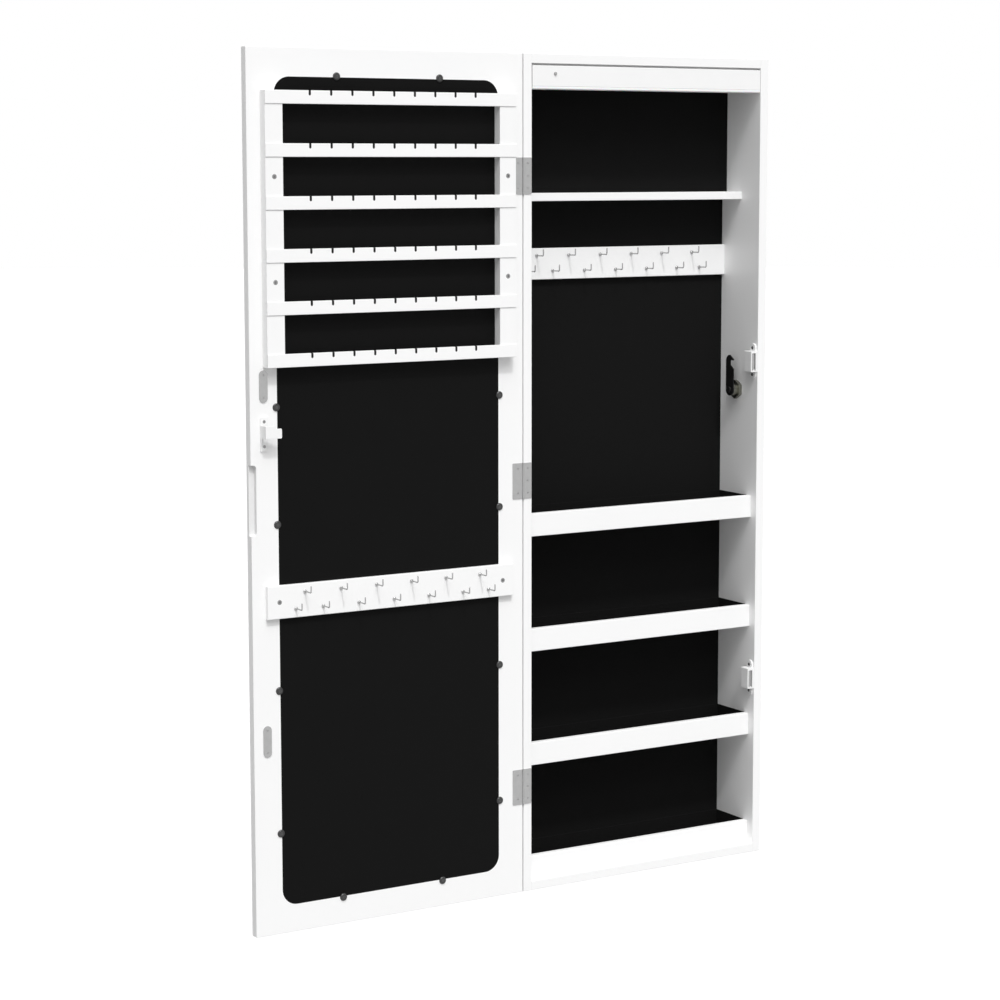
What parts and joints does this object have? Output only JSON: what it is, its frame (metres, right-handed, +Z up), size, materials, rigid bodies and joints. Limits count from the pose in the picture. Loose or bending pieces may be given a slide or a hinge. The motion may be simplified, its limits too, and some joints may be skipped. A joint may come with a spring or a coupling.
{
  "type": "jewelry mirror cabinet",
  "caption": "Wall-hung jewellery cabinet: shelf, hook boards, felt trays and top light behind a lockable full-length mirror door with an earring rack.",
  "frame": {"origin": "on the back face, midway between the round entries of the two keyhole wall hangers", "axes": "+Z up along the cabinet's height, +Y into the wall, +X to the right as seen from the front; the door is modelled open all the way, level with the cabinet's front"},
  "size_m": [0.7559, 0.1094, 1.06],
  "materials": {
    "white_board": "smooth satin white paint on fibreboard",
    "back_board": "thin fibreboard, white on the wall side",
    "black_felt": "short black felt",
    "dowel_wood": "plain beech",
    "steel_plate": "zinc-plated sheet steel, matt",
    "screw_steel": "zinc-plated steel",
    "hook_metal": "nickel-plated wire",
    "white_plastic": "moulded white plastic",
    "diffuser": "milky translucent plastic",
    "circuit_board": "white-coated circuit board",
    "led_lens": "yellow phosphor under clear resin",
    "dark_plastic": "moulded black plastic",
    "plunger_plastic": "moulded grey plastic",
    "magnet": "sintered ferrite",
    "lock_metal": "nickel-plated die casting",
    "cam_black": "black-coated steel",
    "white_metal": "white powder coat on bent sheet steel",
    "mirror": "silvered float glass",
    "black_backing": "black-faced hardboard",
    "clip_plastic": "moulded dark grey plastic"
  },
  "bodies": {
    "cabinet": {"side_panel_left": "white_board", "side_panel_right": "white_board", "top_panel": "white_board", "bottom_panel": "white_board", "hanging_rail": "white_board", "upper_shelf": "white_board", "tray_boards": "white_board", "tray_lips": "white_board", "cabinet_hook_board": "white_board", "light_spacer": "white_board", "back_panel": "back_board", "back_felt": "black_felt", "rail_felt": "black_felt", "tray_liners": "black_felt", "carcass_dowels": "dowel_wood", "hanger_plates": "steel_plate", "cabinet_hinge_leaves": "steel_plate", "catch_pole_plates": "steel_plate", "hanger_screws": "screw_steel", "light_screws": "screw_steel", "cabinet_hinge_screws": "screw_steel", "catch_screws": "screw_steel", "hinge_pins": "screw_steel", "cabinet_hooks": "hook_metal", "light_bar": "white_plastic", "battery_box": "white_plastic", "battery_cover": "white_plastic", "catch_housings": "white_plastic", "light_diffuser": "diffuser", "led_board": "circuit_board", "leds": "led_lens", "switch_body": "dark_plastic", "catch_magnets": "magnet", "lock_barrel": "lock_metal", "lock_nut": "lock_metal"},
    "door": {"door_frame": "white_board", "mirror_glass": "mirror", "mirror_backing": "black_backing", "mirror_clips": "clip_plastic", "clip_screws": "screw_steel", "rack_stile_left": "white_board", "rack_stile_right": "white_board", "rack_slats": "white_board", "rack_screws": "screw_steel", "door_hook_board": "white_board", "door_hooks": "hook_metal", "hook_board_screws": "screw_steel", "strike_plates": "steel_plate", "strike_screws": "screw_steel", "lock_keeper": "white_metal", "keeper_screws": "screw_steel", "door_hinge_leaves": "steel_plate", "door_hinge_screws": "screw_steel"},
    "lock": {"lock_plug": "lock_metal", "lock_cam": "cam_black", "cam_screw": "screw_steel"},
    "switch": {"switch_plunger": "plunger_plastic"}
  },
  "joints": [
    {"name": "door_swing", "type": "hinge", "parent": "cabinet", "child": "door", "pos_m": [-0.1887, -0.087, 0], "axis": [0, 0, 1], "range_deg": [0, 180]},
    {"name": "lock_turn", "type": "hinge", "parent": "cabinet", "child": "lock", "pos_m": [0.17, -0.0407, -0.36], "axis": [1, 0, 0], "range_deg": [0, 90]},
    {"name": "switch_press", "type": "slide", "parent": "cabinet", "child": "switch", "axis": [0, 1, 0], "range_m": [0, 0.0014], "stiffness_N_per_m": 150, "springref_m": -0.002}
  ]
}
